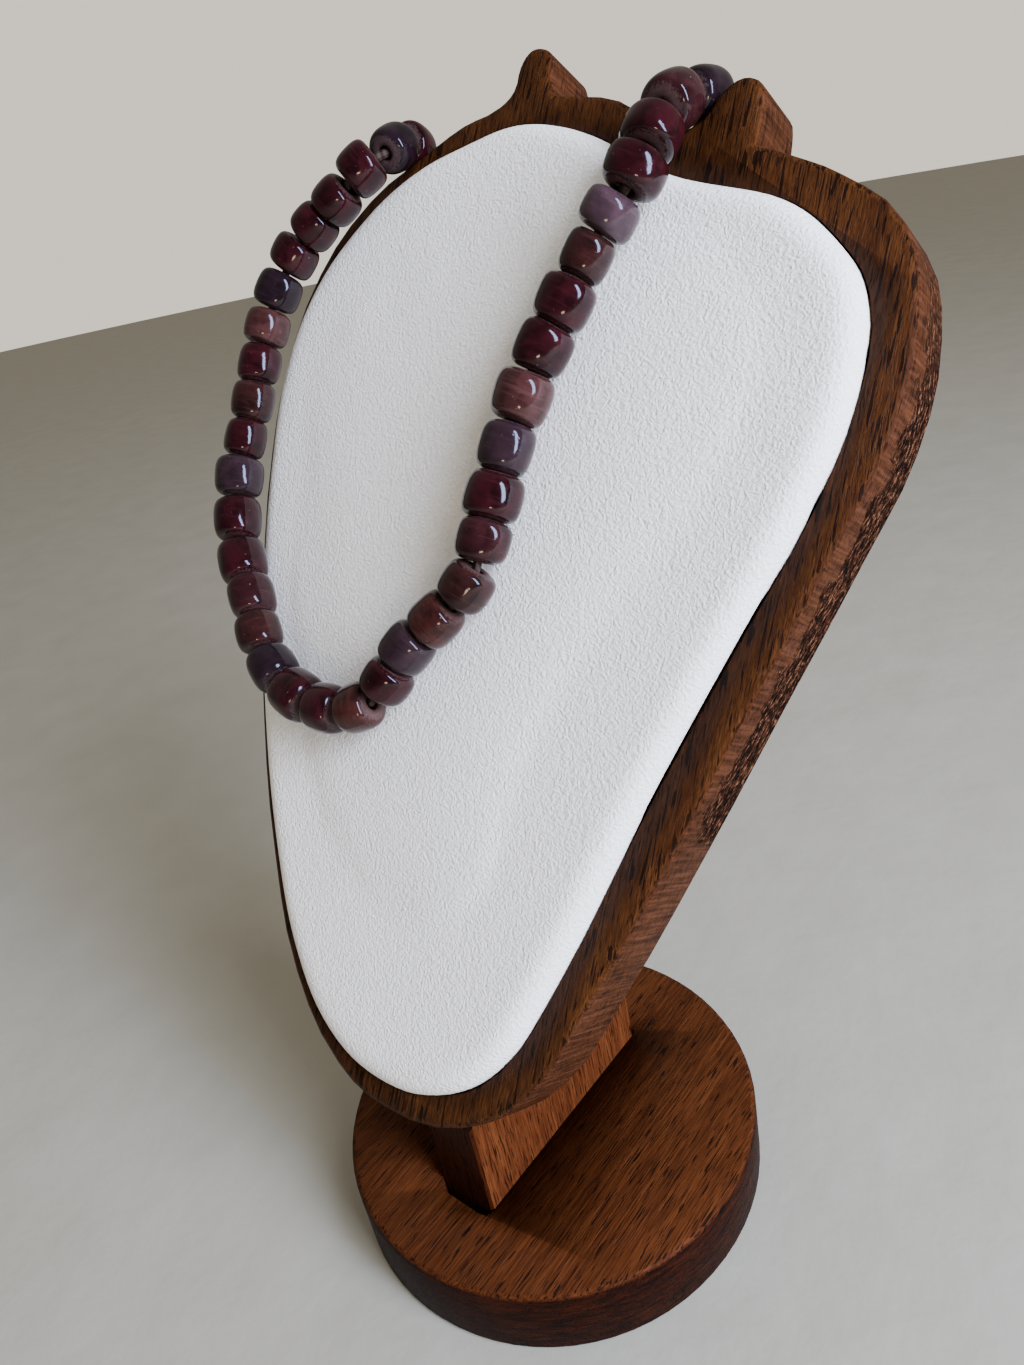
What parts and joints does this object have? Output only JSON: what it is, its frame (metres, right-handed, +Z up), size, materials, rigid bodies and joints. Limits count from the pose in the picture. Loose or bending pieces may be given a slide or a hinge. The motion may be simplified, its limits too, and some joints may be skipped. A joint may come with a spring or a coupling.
{
  "type": "beaded necklace on display stand",
  "caption": "Strand of wound glass barrel beads draped over a padded leaning board with two ears, on an upright post let into a round wooden base",
  "frame": {"origin": "centre of the base's underside", "axes": "+Z up, the padded board faces -Y, +X to the viewer's right"},
  "size_m": [0.1878, 0.1716, 0.2906],
  "materials": {
    "base": "dark walnut stain, open grain",
    "post": "dark walnut stain, open grain",
    "board": "dark walnut stain, rough sawn edge",
    "pad": "white leatherette, fine pebble grain",
    "thread": "twisted cotton thread",
    "bead_01": "glossy wound glass, violet",
    "bead_02": "glossy wound glass, mauve",
    "bead_03": "glossy wound glass, burgundy",
    "bead_04": "glossy wound glass, burgundy",
    "bead_05": "glossy wound glass, lilac",
    "bead_06": "glossy wound glass, brown",
    "bead_07": "glossy wound glass, burgundy",
    "bead_08": "glossy wound glass, burgundy",
    "bead_09": "glossy wound glass, tan",
    "bead_10": "glossy wound glass, lilac",
    "bead_11": "glossy wound glass, burgundy",
    "bead_12": "glossy wound glass, mauve",
    "bead_13": "glossy wound glass, brown",
    "bead_14": "glossy wound glass, rust",
    "bead_15": "glossy wound glass, lilac",
    "bead_16": "glossy wound glass, burgundy",
    "bead_17": "glossy wound glass, rust",
    "bead_18": "glossy wound glass, burgundy",
    "bead_19": "glossy wound glass, burgundy",
    "bead_20": "glossy wound glass, violet",
    "bead_21": "glossy wound glass, brown",
    "bead_22": "glossy wound glass, mauve",
    "bead_23": "glossy wound glass, burgundy",
    "bead_24": "glossy wound glass, burgundy",
    "bead_25": "glossy wound glass, lilac",
    "bead_26": "glossy wound glass, burgundy",
    "bead_27": "glossy wound glass, brown",
    "bead_28": "glossy wound glass, burgundy",
    "bead_29": "glossy wound glass, tan",
    "bead_30": "glossy wound glass, violet",
    "bead_31": "glossy wound glass, burgundy",
    "bead_32": "glossy wound glass, burgundy",
    "bead_33": "glossy wound glass, burgundy",
    "bead_34": "glossy wound glass, burgundy",
    "bead_35": "glossy wound glass, violet",
    "bead_36": "glossy wound glass, burgundy",
    "bead_37": "glossy wound glass, burgundy",
    "bead_38": "glossy wound glass, brown",
    "bead_39": "glossy wound glass, violet",
    "bead_40": "glossy wound glass, burgundy",
    "bead_41": "glossy wound glass, brown",
    "bead_42": "glossy wound glass, violet",
    "bead_43": "glossy wound glass, burgundy",
    "bead_44": "glossy wound glass, brown",
    "bead_45": "glossy wound glass, violet",
    "bead_46": "glossy wound glass, burgundy",
    "bead_47": "glossy wound glass, brown",
    "bead_48": "glossy wound glass, violet"
  },
  "bodies": {
    "root": {"base": "base", "post": "post", "board": "board", "pad": "pad", "thread": "thread", "bead_01": "bead_01", "bead_02": "bead_02", "bead_03": "bead_03", "bead_04": "bead_04", "bead_05": "bead_05", "bead_06": "bead_06", "bead_07": "bead_07", "bead_08": "bead_08", "bead_09": "bead_09", "bead_10": "bead_10", "bead_11": "bead_11", "bead_12": "bead_12", "bead_13": "bead_13", "bead_14": "bead_14", "bead_15": "bead_15", "bead_16": "bead_16", "bead_17": "bead_17", "bead_18": "bead_18", "bead_19": "bead_19", "bead_20": "bead_20", "bead_21": "bead_21", "bead_22": "bead_22", "bead_23": "bead_23", "bead_24": "bead_24", "bead_25": "bead_25", "bead_26": "bead_26", "bead_27": "bead_27", "bead_28": "bead_28", "bead_29": "bead_29", "bead_30": "bead_30", "bead_31": "bead_31", "bead_32": "bead_32", "bead_33": "bead_33", "bead_34": "bead_34", "bead_35": "bead_35", "bead_36": "bead_36", "bead_37": "bead_37", "bead_38": "bead_38", "bead_39": "bead_39", "bead_40": "bead_40", "bead_41": "bead_41", "bead_42": "bead_42", "bead_43": "bead_43", "bead_44": "bead_44", "bead_45": "bead_45", "bead_46": "bead_46", "bead_47": "bead_47", "bead_48": "bead_48"}
  },
  "joints": []
}
